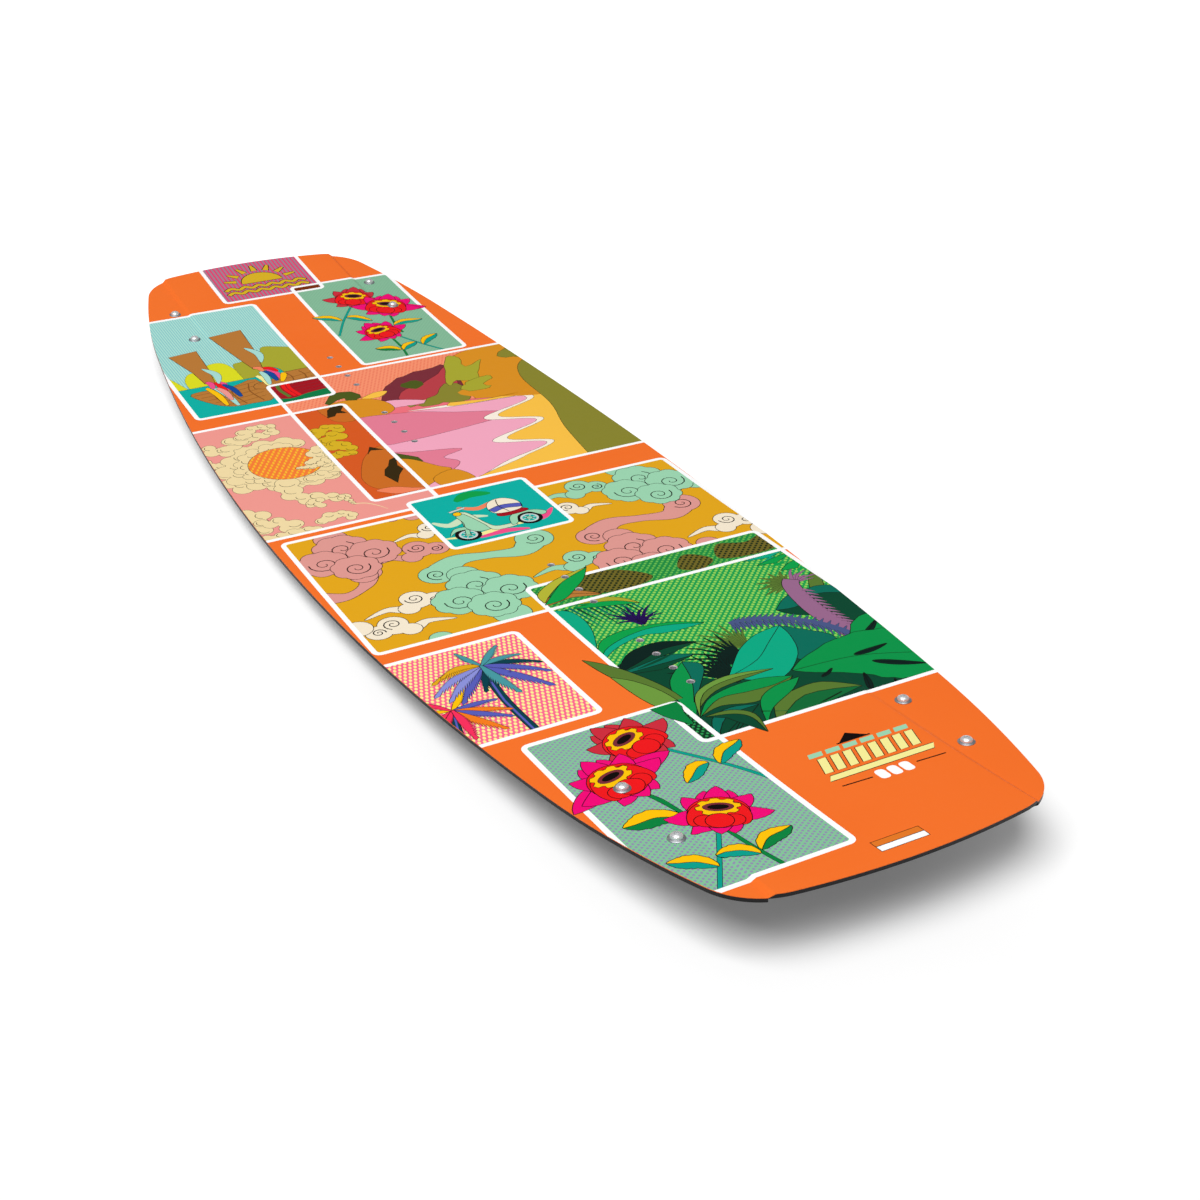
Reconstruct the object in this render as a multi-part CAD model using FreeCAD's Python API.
"""A twin-tip wakeboard as its separate pieces, in millimetres.

+X runs along the board, +Y across it and +Z up. The origin is under the middle of the board, on the plane
that the flat belly rests on. The board is the same at both ends and on both sides.
"""
import FreeCAD, Part
import math
import os

V = FreeCAD.Vector
X_AXIS = V(1, 0, 0)
Y_AXIS = V(0, 1, 0)
Z_AXIS = V(0, 0, 1)

# ---------------------------------------------------------------- driving dimensions, mm
LENGTH = 1300.0
WIDTH = 393.6
SIDE_RADIUS = 3227.0        # plan radius of the long sides
SHOULDER_RADIUS = 888.0     # where the sides start to close towards a tip
CORNER_RADIUS = 51.6        # the rounded tip corners
SIDE_TURN = 8.19            # degrees turned from the middle of a side to the start of its shoulder
SHOULDER_TURN = 18.01       # the same, to the start of the corner

THICKNESS = 18.0            # at the middle of the board
BELLY_FLAT = 60.0           # half the length of the flat part of the base
BASE_ROCKER = 1.307e-4      # base height = this * (distance beyond the flat)**2
DECK_ROCKER_2 = 6.2926e-5   # deck height = THICKNESS + DECK_ROCKER_2 * x**2 + DECK_ROCKER_4 * x**4
DECK_ROCKER_4 = 4.9963e-11

STEP_START = 380.0          # distance from the middle where the deck's corners start to drop
STEP_AT_TIP = 2.8           # how far they have dropped at a tip
STEP_POWER = 1.2
STEP_INNER = 100.0          # half width of the raised middle strip
STEP_OUTER = 104.0          # where the ramp beside it ends

TOPSHEET = 0.6
LAMINATE = 1.0
BASE_SHEET = 1.0
LIP = 3.0                   # upright part of the edge, below the topsheet
BEVEL = 0.8                 # drop per millimetre inwards of the undercut below the lip
BEVEL_OUT = 6.0             # how far the undercut's cutter reaches beyond the outline
BEVEL_IN = 30.0             # and inside it
BEVEL_CORE = 4.0            # smallest radius that the cutter keeps at a tight corner
CUTTER_FLOOR = -60.0
RIM_AT_SIDE = 20.0          # width of the edge piece along the sides
RIM_AT_TIP = 14.0           # and at the tips
RIM_SPLIT = 470.0           # where a side's edge piece meets a tip's

STRINGER_Y = 64.0
STRINGER_WIDTH = 8.0

STANCE = 260.8              # middle of each binding's row of inserts
INSERT_PITCH = 25.4
INSERT_MATE = 152.4         # the two inserts that one binding plate uses are this far apart
INSERTS_PER_GROUP = 4
INSERT_BORE_R = 2.5         # tapping bore of an M6 thread
INSERT_NECK_R = 3.2
INSERT_BODY_R = 5.0
INSERT_FLANGE_R = 7.5
INSERT_FLANGE = 1.2
INSERT_SHOULDER = 2.2       # length of the neck, which passes through the topsheet and laminate
INSERT_DEPTH = 11.6
INSERT_FLOOR = 1.4
INSERT_SINK = 0.15          # how far a neck's top lies under the deck
INSERT_CHAMFER = 0.4
INSERT_CLEAR = 0.15         # gap round a neck in the topsheet
BLOCK_HALF_LENGTH = 135.0
BLOCK_HALF_WIDTH = 30.0
BLOCK_CORNER = 8.0

FIN_X = 515.05              # middle of a fin, between its two screws
FIN_Y = 116.0
FIN_SCREWS = 71.3
FIN_BLOCK_HALF_LENGTH = 54.0
FIN_BLOCK_HALF_WIDTH = 16.0
FIN_PAD_LENGTH = 116.0
FIN_PAD_WIDTH = 19.0
FIN_PAD = 3.2
FIN_DEPTH = 20.0
FIN_ROOT = (108.0, 8.0)     # length and thickness of the blade at the board
FIN_MIDDLE = (92.0, 5.4)
FIN_TIP = (62.0, 2.6)
FIN_EDGE = 0.16             # half thickness of the blade's ends, as a share of its thickness
FIN_EMBED = 12.0            # how far the foot is built upwards before the board is cut out of it
FIN_BOSS_R = 6.6
FIN_BOSS = 12.4
FIN_BOSS_ROUND = 2.5

SCREW_R = 2.5
SCREW_HEAD_R = 4.4
SCREW_HEAD = 3.0
SCREW_HEAD_RIM = 0.5        # upright part of the head, below its dome
SCREW_CHAMFER = 0.6
SCREW_REACH = 9.0           # length of screw inside the fin
DRILL_CLEAR = 0.1           # play of the screw in the fin's drilled hole
DRILL_OVER = 2.0            # how much deeper the hole is than the screw
DRILL_TOP = 4.0             # how far the drill reaches above the fin
DRIVE_LENGTH = 4.6          # cross recess in the screw's head
DRIVE_WIDTH = 1.0
DRIVE_DEPTH = 1.5
WASHER_R = 6.2
WASHER_BORE_R = 2.8
WASHER = 1.2
WASHER_RIM = 0.48           # height of the washer's upright rim
WASHER_STEP = 0.84          # height where its dish starts
WASHER_ROUND = 0.6
WASHER_SEAT = 0.3           # flat ring round the screw's head
BUSH_R = 3.8
BUSH_BORE_R = 2.7
NUT_R = 4.2
NUT = 10.0
NUT_SINK = 2.0              # how far its top lies inside the fin
NUT_GROOVE = 0.5
NUT_GROOVES = (0.33, 0.67)  # their places as shares of the nut's length
NUT_GROOVE_HALF = 1.0       # half of a groove's width at its mouth

# ---------------------------------------------------------------- worked out from them
HALF_LENGTH = LENGTH / 2
HALF_WIDTH = WIDTH / 2
MARGIN = 20.0               # how far raw layers reach beyond the outline
X_END = HALF_LENGTH + MARGIN
Y_END = HALF_WIDTH + MARGIN
TALL = 200.0                # height of prisms that only serve to cut
ENDS = (("nose", 1), ("tail", -1))
SIDES = (("left", -1), ("right", 1))


# ---------------------------------------------------------------- heights
def deck_z(x):
    """Height of the middle strip of the deck."""
    return THICKNESS + DECK_ROCKER_2 * x**2 + DECK_ROCKER_4 * x**4


def base_z(x):
    return BASE_ROCKER * max(abs(x) - BELLY_FLAT, 0.0) ** 2


def step_z(x):
    """How far the deck's outer strips lie below its middle strip."""
    beyond = max(abs(x) - STEP_START, 0.0) / (HALF_LENGTH - STEP_START)
    return STEP_AT_TIP * beyond**STEP_POWER


def outer_deck_z(x):
    return deck_z(x) - step_z(x)


FIN_SLOPE = math.atan(outer_deck_z(FIN_X + 0.5) - outer_deck_z(FIN_X - 0.5))
BOARD_AT_FIN = (outer_deck_z(FIN_X) - base_z(FIN_X)) * math.cos(FIN_SLOPE)
UNDER_BASE = -BOARD_AT_FIN


# ---------------------------------------------------------------- plan outline
def turned(centre, radius, degrees):
    """A point on an arc, at an angle from +Y towards +X."""
    angle = math.radians(degrees)
    return V(centre.x + radius * math.sin(angle), centre.y + radius * math.cos(angle), 0)


def quarter_arcs(side_inset=0.0, tip_inset=0.0):
    """The four tangent arcs from the middle of a side to the middle of a tip: centre, radius, start, end."""
    side = SIDE_RADIUS - side_inset
    shoulder = SHOULDER_RADIUS - side_inset
    corner = CORNER_RADIUS - side_inset
    length = HALF_LENGTH - tip_inset
    side_centre = V(0, HALF_WIDTH - SIDE_RADIUS, 0)
    shoulder_centre = turned(side_centre, side - shoulder, SIDE_TURN)
    corner_centre = turned(shoulder_centre, shoulder - corner, SHOULDER_TURN)
    gap = length - corner_centre.x
    tip = (corner**2 - gap**2 - corner_centre.y**2) / (2 * (corner - gap))
    tip_centre = V(length - tip, 0, 0)
    corner_turn = math.degrees(math.atan2(corner_centre.x - tip_centre.x, corner_centre.y))
    return [
        (side_centre, side, 0.0, SIDE_TURN),
        (shoulder_centre, shoulder, SIDE_TURN, SHOULDER_TURN),
        (corner_centre, corner, SHOULDER_TURN, corner_turn),
        (tip_centre, tip, corner_turn, 90.0),
    ]


def mirrored(shape, x_sign, y_sign):
    if x_sign < 0:
        shape = shape.mirror(V(0, 0, 0), X_AXIS)
    if y_sign < 0:
        shape = shape.mirror(V(0, 0, 0), Y_AXIS)
    return shape


def planform(side_inset=0.0, tip_inset=0.0):
    """The outline as an upright prism taller than the board."""
    edges = []
    for centre, radius, start, end in quarter_arcs(side_inset, tip_inset):
        points = [turned(centre, radius, a) for a in (start, (start + end) / 2, end)]
        arc = Part.Arc(*points).toShape()
        edges += [mirrored(arc, sx, sy) for sx in (1, -1) for sy in (1, -1)]
    wire = Part.Wire(Part.sortEdges(edges)[0])
    prism = Part.Face(wire).extrude(V(0, 0, TALL))
    prism.translate(V(0, 0, -TALL / 4))
    return prism


# ---------------------------------------------------------------- layers that follow the rocker
def spline(height, x0, x1, count, y, raise_by):
    curve = Part.BSplineCurve()
    xs = [x0 + (x1 - x0) * i / (count - 1) for i in range(count)]
    curve.interpolate([V(x, y, height(x) + raise_by) for x in xs])
    return curve.toShape()


def deck_curve(height, y, raise_by):
    return [
        spline(height, -X_END, -STEP_START, 8, y, raise_by),
        spline(height, -STEP_START, STEP_START, 9, y, raise_by),
        spline(height, STEP_START, X_END, 8, y, raise_by),
    ]


def base_curve(y, raise_by):
    flat = Part.makeLine(V(-BELLY_FLAT, y, raise_by), V(BELLY_FLAT, y, raise_by))
    return [
        spline(base_z, -X_END, -BELLY_FLAT, 8, y, raise_by),
        flat,
        spline(base_z, BELLY_FLAT, X_END, 8, y, raise_by),
    ]


def profile(upper, lower):
    """A closed upright wire between two lengthwise curves."""
    ends = []
    for index, vertex in ((0, 0), (-1, -1)):
        top = upper[index].Vertexes[vertex].Point
        bottom = lower[index].Vertexes[vertex].Point
        ends.append(Part.makeLine(top, bottom))
    return Part.Wire(Part.sortEdges(upper + ends + lower)[0])


def fused(shapes):
    """One shape out of several, with flush faces joined."""
    whole = shapes[0].multiFuse(shapes[1:])
    return whole.removeSplitter()


def stepped_layer(upper, lower):
    """A layer under the stepped deck. upper and lower give a lengthwise curve for a deck height and a y."""
    middle = Part.Face(profile(upper(deck_z, -STEP_INNER), lower(deck_z, -STEP_INNER)))
    strips = [middle.extrude(V(0, 2 * STEP_INNER, 0))]
    for sign in (-1, 1):
        inner = profile(upper(deck_z, sign * STEP_INNER), lower(deck_z, sign * STEP_INNER))
        outer = profile(upper(outer_deck_z, sign * STEP_OUTER), lower(outer_deck_z, sign * STEP_OUTER))
        strips.append(Part.makeLoft([inner, outer], True, True))
        strips.append(Part.Face(outer).extrude(V(0, sign * (Y_END - STEP_OUTER), 0)))
    return fused(strips)


def deck_layer(depth, thickness):
    """A layer parallel to the deck, starting at a depth below it."""
    return stepped_layer(
        lambda height, y: deck_curve(height, y, -depth),
        lambda height, y: deck_curve(height, y, -depth - thickness),
    )


def filling_layer(depth, rise):
    """All that lies between a depth below the deck and a height above the base."""
    return stepped_layer(
        lambda height, y: deck_curve(height, y, -depth),
        lambda height, y: base_curve(y, rise),
    )


def base_layer(rise, thickness):
    """A layer parallel to the base, starting at a height above it."""
    face = Part.Face(profile(base_curve(-Y_END, rise + thickness), base_curve(-Y_END, rise)))
    return face.extrude(V(0, 2 * Y_END, 0))


def below_base():
    """Everything under the board."""
    floor = Part.makeLine(V(-X_END, -Y_END, -TALL), V(X_END, -Y_END, -TALL))
    return Part.Face(profile(base_curve(-Y_END, 0), [floor])).extrude(V(0, 2 * Y_END, 0))


# ---------------------------------------------------------------- the undercut below the lip
def bevel_cutter(centre, radius, start, end, height):
    """The space under the sloping edge, along one arc of the outline."""
    count = 7
    turns = [start + (end - start) * i / (count - 1) for i in range(count)]
    rails = []
    for inset in (-BEVEL_OUT, min(BEVEL_IN, radius - BEVEL_CORE)):
        sloping = []
        level = []
        for turn in turns:
            rim = turned(centre, radius, turn)
            point = turned(centre, radius - inset, turn)
            drop = TOPSHEET + LIP + inset * BEVEL
            sloping.append(V(point.x, point.y, height(rim.x) - drop))
            level.append(V(point.x, point.y, CUTTER_FLOOR))
        rails += [sloping, level]
    curves = []
    for points in rails:
        curve = Part.BSplineCurve()
        curve.interpolate(points)
        curves.append(curve.toShape())
    outer, outer_low, inner, inner_low = curves
    faces = [
        Part.makeRuledSurface(outer, inner),
        Part.makeRuledSurface(outer_low, inner_low),
        Part.makeRuledSurface(outer, outer_low),
        Part.makeRuledSurface(inner, inner_low),
    ]
    for index in (0, -1):
        corners = [c.Vertexes[index].Point for c in (outer, inner, inner_low, outer_low)]
        faces.append(Part.Face(Part.makePolygon(corners + corners[:1])))
    shell = Part.Shell(faces)
    shell.sewShape()
    solid = Part.Solid(shell)
    solid.fix(1e-3, 1e-3, 1e-3)
    if solid.Volume < 0:
        solid.reverse()
    return solid


def bevel_cutters():
    cutters = []
    side, shoulder, corner, tip = quarter_arcs()
    centre, radius, start, end = corner
    step_turn = math.degrees(math.acos((STEP_OUTER - centre.y) / radius))
    runs = [
        (*side, outer_deck_z),
        (*shoulder, outer_deck_z),
        (centre, radius, start, step_turn, outer_deck_z),
        (centre, radius, step_turn, end, deck_z),
        (*tip, deck_z),
    ]
    for run in runs:
        cutter = bevel_cutter(*run)
        cutters += [mirrored(cutter, sx, sy) for sx in (1, -1) for sy in (1, -1)]
    return cutters


# ---------------------------------------------------------------- small shapes
def slab(x0, x1, y0, y1):
    """A box taller than the board."""
    return Part.makeBox(x1 - x0, y1 - y0, TALL, V(x0, y0, -TALL / 4))


def block(x, y, half_length, half_width, corner):
    """An upright prism with rounded corners, taller than the board."""
    box = slab(x - half_length, x + half_length, y - half_width, y + half_width)
    upright = [e for e in box.Edges if abs(e.tangentAt(e.FirstParameter).z) > 0.9]
    return box.makeFillet(corner, upright)


def turned_profile(points):
    """A solid of revolution about Z from (radius, height) points."""
    corners = [V(r, 0, z) for r, z in points]
    face = Part.Face(Part.makePolygon(corners + corners[:1]))
    return face.revolve(V(0, 0, 0), Z_AXIS, 360)


def insert_xs():
    """Distances from the middle of the board to the inserts of one binding, inner group then outer group."""
    first = INSERT_PITCH * 1.5
    steps = [first + INSERT_PITCH * i for i in range(INSERTS_PER_GROUP)]
    return [STANCE - s for s in reversed(steps)] + [STANCE + s for s in steps]


def insert_piece(x):
    """A flanged threaded insert with a blind bore, standing upright with its mouth at the deck."""
    depth = INSERT_DEPTH - INSERT_FLANGE
    body = turned_profile([
        (0, -INSERT_DEPTH),
        (INSERT_FLANGE_R, -INSERT_DEPTH),
        (INSERT_FLANGE_R, -depth),
        (INSERT_BODY_R, -depth),
        (INSERT_BODY_R, -INSERT_SHOULDER),
        (INSERT_NECK_R, -INSERT_SHOULDER),
        (INSERT_NECK_R, 0),
        (INSERT_BORE_R + INSERT_CHAMFER, 0),
        (INSERT_BORE_R, -INSERT_CHAMFER),
        (INSERT_BORE_R, -INSERT_DEPTH + INSERT_FLOOR),
        (0, -INSERT_DEPTH + INSERT_FLOOR),
    ])
    body.translate(V(x, 0, deck_z(x) - INSERT_SINK))
    return body


def insert_pocket(x):
    """The space that an insert takes up, as stacked cylinders, open above the deck."""
    flange_top = INSERT_FLANGE - INSERT_DEPTH
    steps = [
        (INSERT_NECK_R, TALL / 8, -INSERT_SHOULDER),
        (INSERT_BODY_R, -INSERT_SHOULDER, flange_top),
        (INSERT_FLANGE_R, flange_top, -INSERT_DEPTH),
    ]
    mouth = deck_z(x) - INSERT_SINK
    return fused([Part.makeCylinder(r, top - low, V(x, 0, mouth + low)) for r, top, low in steps])


# ---------------------------------------------------------------- fins and their fasteners
def fin_frame(shape, x_sign, y_sign):
    """Places a shape made about the point on the deck above a fin's middle, square to the deck there."""
    placed = shape.copy()
    placed.rotate(V(0, 0, 0), Y_AXIS, -math.degrees(FIN_SLOPE))
    placed.translate(V(FIN_X, FIN_Y, outer_deck_z(FIN_X)))
    return mirrored(placed, x_sign, y_sign)


def seat(offset):
    """How far the curved deck rises above its tangent at the fin's middle, at a distance along it."""
    x = FIN_X + offset * math.cos(FIN_SLOPE)
    rise = outer_deck_z(x) - outer_deck_z(FIN_X)
    return rise * math.cos(FIN_SLOPE) - (x - FIN_X) * math.sin(FIN_SLOPE)


def per_screw(shape, x_sign, y_sign, seated=True):
    """The same piece at both of a fin's screws. Seated pieces stand on the deck, others keep their depth."""
    pieces = []
    for side in (-1, 1):
        offset = side * FIN_SCREWS / 2
        placed = shape.copy()
        placed.translate(V(offset, 0, seat(offset) if seated else 0))
        pieces.append(fin_frame(placed, x_sign, y_sign))
    return pieces


def screw():
    """A domed screw with a cross recess, standing on its washer."""
    dome_steps = 6
    tip = -BOARD_AT_FIN - SCREW_REACH
    rim = WASHER + SCREW_HEAD_RIM
    dome = SCREW_HEAD - SCREW_HEAD_RIM
    points = [
        (0, tip),
        (SCREW_R - SCREW_CHAMFER, tip),
        (SCREW_R, tip + SCREW_CHAMFER),
        (SCREW_R, WASHER),
        (SCREW_HEAD_R, WASHER),
    ]
    for i in range(dome_steps + 1):
        angle = math.pi / 2 * i / dome_steps
        points.append((SCREW_HEAD_R * math.cos(angle), rim + dome * math.sin(angle)))
    body = turned_profile(points)
    top = WASHER + SCREW_HEAD
    for length, width in ((DRIVE_LENGTH, DRIVE_WIDTH), (DRIVE_WIDTH, DRIVE_LENGTH)):
        corner = V(-length / 2, -width / 2, top - DRIVE_DEPTH)
        cut = Part.makeBox(length, width, 2 * DRIVE_DEPTH, corner)
        body = body.cut(cut)
    return body


def washer():
    """A dished washer: its rim lies on the deck and its middle carries the screw's head."""
    return turned_profile([
        (WASHER_BORE_R, 0),
        (WASHER_R, 0),
        (WASHER_R, WASHER_RIM),
        (WASHER_R - WASHER_ROUND, WASHER_STEP),
        (SCREW_HEAD_R + WASHER_SEAT, WASHER),
        (WASHER_BORE_R, WASHER),
    ])


def bush():
    """A plain tube longer than the board is thick, to be trimmed to it."""
    outer = Part.makeCylinder(BUSH_R, TALL / 4, V(0, 0, -TALL / 8))
    return outer.cut(Part.makeCylinder(BUSH_BORE_R, TALL / 4, V(0, 0, -TALL / 8)))


def nut():
    """A threaded barrel moulded into a fin, with two grooves that hold it."""
    top = UNDER_BASE - NUT_SINK
    floor = NUT_GROOVE_HALF - NUT_GROOVE
    points = [(SCREW_R, top), (NUT_R, top)]
    for share in NUT_GROOVES:
        z = top - NUT * share
        points.append((NUT_R, z + NUT_GROOVE_HALF))
        points.append((NUT_R - NUT_GROOVE, z + floor))
        points.append((NUT_R - NUT_GROOVE, z - floor))
        points.append((NUT_R, z - NUT_GROOVE_HALF))
    points.append((NUT_R, top - NUT))
    points.append((SCREW_R, top - NUT))
    return turned_profile(points)


def lens(length, thickness, depth, shift):
    """A blade section at a depth: two arcs that meet at blunt ends."""
    half = length / 2
    end = thickness * FIN_EDGE
    z = UNDER_BASE - depth
    bow = thickness / 2
    edges = [
        Part.Arc(V(shift - half, end, z), V(shift, bow, z), V(shift + half, end, z)).toShape(),
        Part.Arc(V(shift + half, end, z), V(shift + half + end, 0, z), V(shift + half, -end, z)).toShape(),
        Part.Arc(V(shift + half, -end, z), V(shift, -bow, z), V(shift - half, -end, z)).toShape(),
        Part.Arc(V(shift - half, -end, z), V(shift - half - end, 0, z), V(shift - half, end, z)).toShape(),
    ]
    return Part.Wire(edges)


def fin_body(x_sign, y_sign, under, hardware):
    """A moulded fin: a foot pad under the board, two bosses and a tapering blade."""
    half_run = (FIN_PAD_LENGTH - FIN_PAD_WIDTH) / 2
    half_width = FIN_PAD_WIDTH / 2
    tall = FIN_PAD + FIN_EMBED
    low = UNDER_BASE - FIN_PAD
    foot = [
        Part.makeBox(2 * half_run, FIN_PAD_WIDTH, tall, V(-half_run, -half_width, low)),
        Part.makeCylinder(half_width, tall, V(half_run, 0, low)),
        Part.makeCylinder(half_width, tall, V(-half_run, 0, low)),
    ]
    sections = [
        lens(*FIN_ROOT, -FIN_EMBED, 0),
        lens(*FIN_MIDDLE, FIN_DEPTH * 0.5, 0),
        lens(*FIN_TIP, FIN_DEPTH, 0),
    ]
    blade = Part.makeLoft(sections, True, False)
    bosses = []
    boss_low = UNDER_BASE - FIN_BOSS
    for side in (-1, 1):
        offset = side * FIN_SCREWS / 2
        boss = Part.makeCylinder(FIN_BOSS_R, FIN_BOSS + FIN_EMBED, V(offset, 0, boss_low))
        rounded = [e for e in boss.Edges if abs(e.BoundBox.ZMax - boss_low) < 0.01]
        bosses.append(boss.makeFillet(FIN_BOSS_ROUND, rounded))
    whole = fin_frame(fused(foot + [blade] + bosses), x_sign, y_sign)
    whole = whole.common(under)
    for item in hardware:
        whole = whole.cut(item)
    return whole


# ---------------------------------------------------------------- output
def export(name, *shapes):
    """Writes one node, keeping only the shapes' solids."""
    solids = [solid for shape in shapes for solid in shape.Solids]
    whole = solids[0] if len(solids) == 1 else Part.Compound(solids)
    whole.exportStep(os.path.join("parts", name + ".step"))
    print(f"{name}: {len(solids)} solid(s), {sum(s.Volume for s in solids) / 1000:.2f} cm3")


def main():
    os.makedirs("parts", exist_ok=True)
    outline = planform()
    inner = planform(RIM_AT_SIDE, RIM_AT_TIP)
    cutters = bevel_cutters()
    under = below_base()
    corners = [(end, sx, side, sy) for end, sx in ENDS for side, sy in SIDES]
    skin = TOPSHEET + LAMINATE
    lining = BASE_SHEET + LAMINATE

    # holes for the fasteners
    pockets = [mirrored(insert_pocket(x), sx, 1) for x in insert_xs() for _, sx in ENDS]
    clear_r = INSERT_NECK_R + INSERT_CLEAR
    deck_holes = [
        Part.makeCylinder(clear_r, TALL, V(sx * x, 0, -TALL / 4)) for x in insert_xs() for _, sx in ENDS
    ]
    bores = []
    for _, sx, _, sy in corners:
        bores += per_screw(Part.makeCylinder(BUSH_R, TALL / 2, V(0, 0, -TALL / 4)), sx, sy)

    # deck side
    topsheet = deck_layer(0, TOPSHEET).common(outline)
    export("topsheet", topsheet.cut(Part.Compound(deck_holes + bores)))
    top_laminate = deck_layer(TOPSHEET, LAMINATE).common(inner)
    export("top_laminate", top_laminate.cut(Part.Compound(pockets + bores)))

    # base side
    base_sheet = base_layer(0, BASE_SHEET).common(outline)
    for cutter in cutters:
        base_sheet = base_sheet.cut(cutter)
    export("base_sheet", base_sheet.cut(Part.Compound(bores)))
    bottom_laminate = base_layer(BASE_SHEET, LAMINATE).common(inner)
    export("bottom_laminate", bottom_laminate.cut(Part.Compound(bores)))

    # edge
    ring = filling_layer(TOPSHEET, BASE_SHEET).common(outline.cut(inner))
    for cutter in cutters:
        ring = ring.cut(cutter)
    for side, sy in SIDES:
        span = sorted((0, sy * Y_END))
        export(f"sidewall_{side}", ring.common(slab(-RIM_SPLIT, RIM_SPLIT, *span)))
    for end, sx in ENDS:
        span = sorted((sx * RIM_SPLIT, sx * X_END))
        export(f"tip_edge_{end}", ring.common(slab(*span, -Y_END, Y_END)))

    # core, with its stringers and its reinforcing blocks
    core = filling_layer(skin, lining).common(inner)
    for end, sx in ENDS:
        shape = block(sx * STANCE, 0, BLOCK_HALF_LENGTH, BLOCK_HALF_WIDTH, BLOCK_CORNER)
        piece = core.common(shape)
        export(f"binding_block_{end}", piece.cut(Part.Compound(pockets)))
        core = core.cut(shape)
    for end, sx, side, sy in corners:
        half_size = (FIN_BLOCK_HALF_LENGTH, FIN_BLOCK_HALF_WIDTH)
        shape = block(sx * FIN_X, sy * FIN_Y, *half_size, BLOCK_CORNER)
        piece = core.common(shape)
        export(f"fin_block_{end}_{side}", piece.cut(Part.Compound(bores)))
        core = core.cut(shape)
    near = STRINGER_Y - STRINGER_WIDTH / 2
    far = STRINGER_Y + STRINGER_WIDTH / 2
    export("core_middle", core.common(slab(-X_END, X_END, -near, near)))
    for side, sy in SIDES:
        export(f"stringer_{side}", core.common(slab(-X_END, X_END, *sorted((sy * near, sy * far)))))
        export(f"core_{side}", core.common(slab(-X_END, X_END, *sorted((sy * far, sy * Y_END)))))

    # binding inserts
    for end, sx in ENDS:
        export(f"binding_inserts_{end}", *[mirrored(insert_piece(x), sx, 1) for x in insert_xs()])

    # fins and their fasteners
    board = filling_layer(0, 0)
    for end, sx, side, sy in corners:
        nuts = per_screw(nut(), sx, sy, False)
        screws = per_screw(screw(), sx, sy)
        drill_low = UNDER_BASE - SCREW_REACH - DRILL_OVER
        drill_tall = SCREW_REACH + DRILL_OVER + DRILL_TOP
        drill = Part.makeCylinder(SCREW_R + DRILL_CLEAR, drill_tall, V(0, 0, drill_low))
        barrel = Part.makeCylinder(NUT_R, NUT, V(0, 0, UNDER_BASE - NUT_SINK - NUT))
        hardware = per_screw(drill, sx, sy, False) + per_screw(barrel, sx, sy, False)
        export(f"fin_{end}_{side}", fin_body(sx, sy, under, hardware))
        export(f"fin_nuts_{end}_{side}", *nuts)
        export(f"fin_screws_{end}_{side}", *screws)
        export(f"fin_washers_{end}_{side}", *per_screw(washer(), sx, sy))
        export(f"fin_bushes_{end}_{side}", *[b.common(board) for b in per_screw(bush(), sx, sy)])


main()
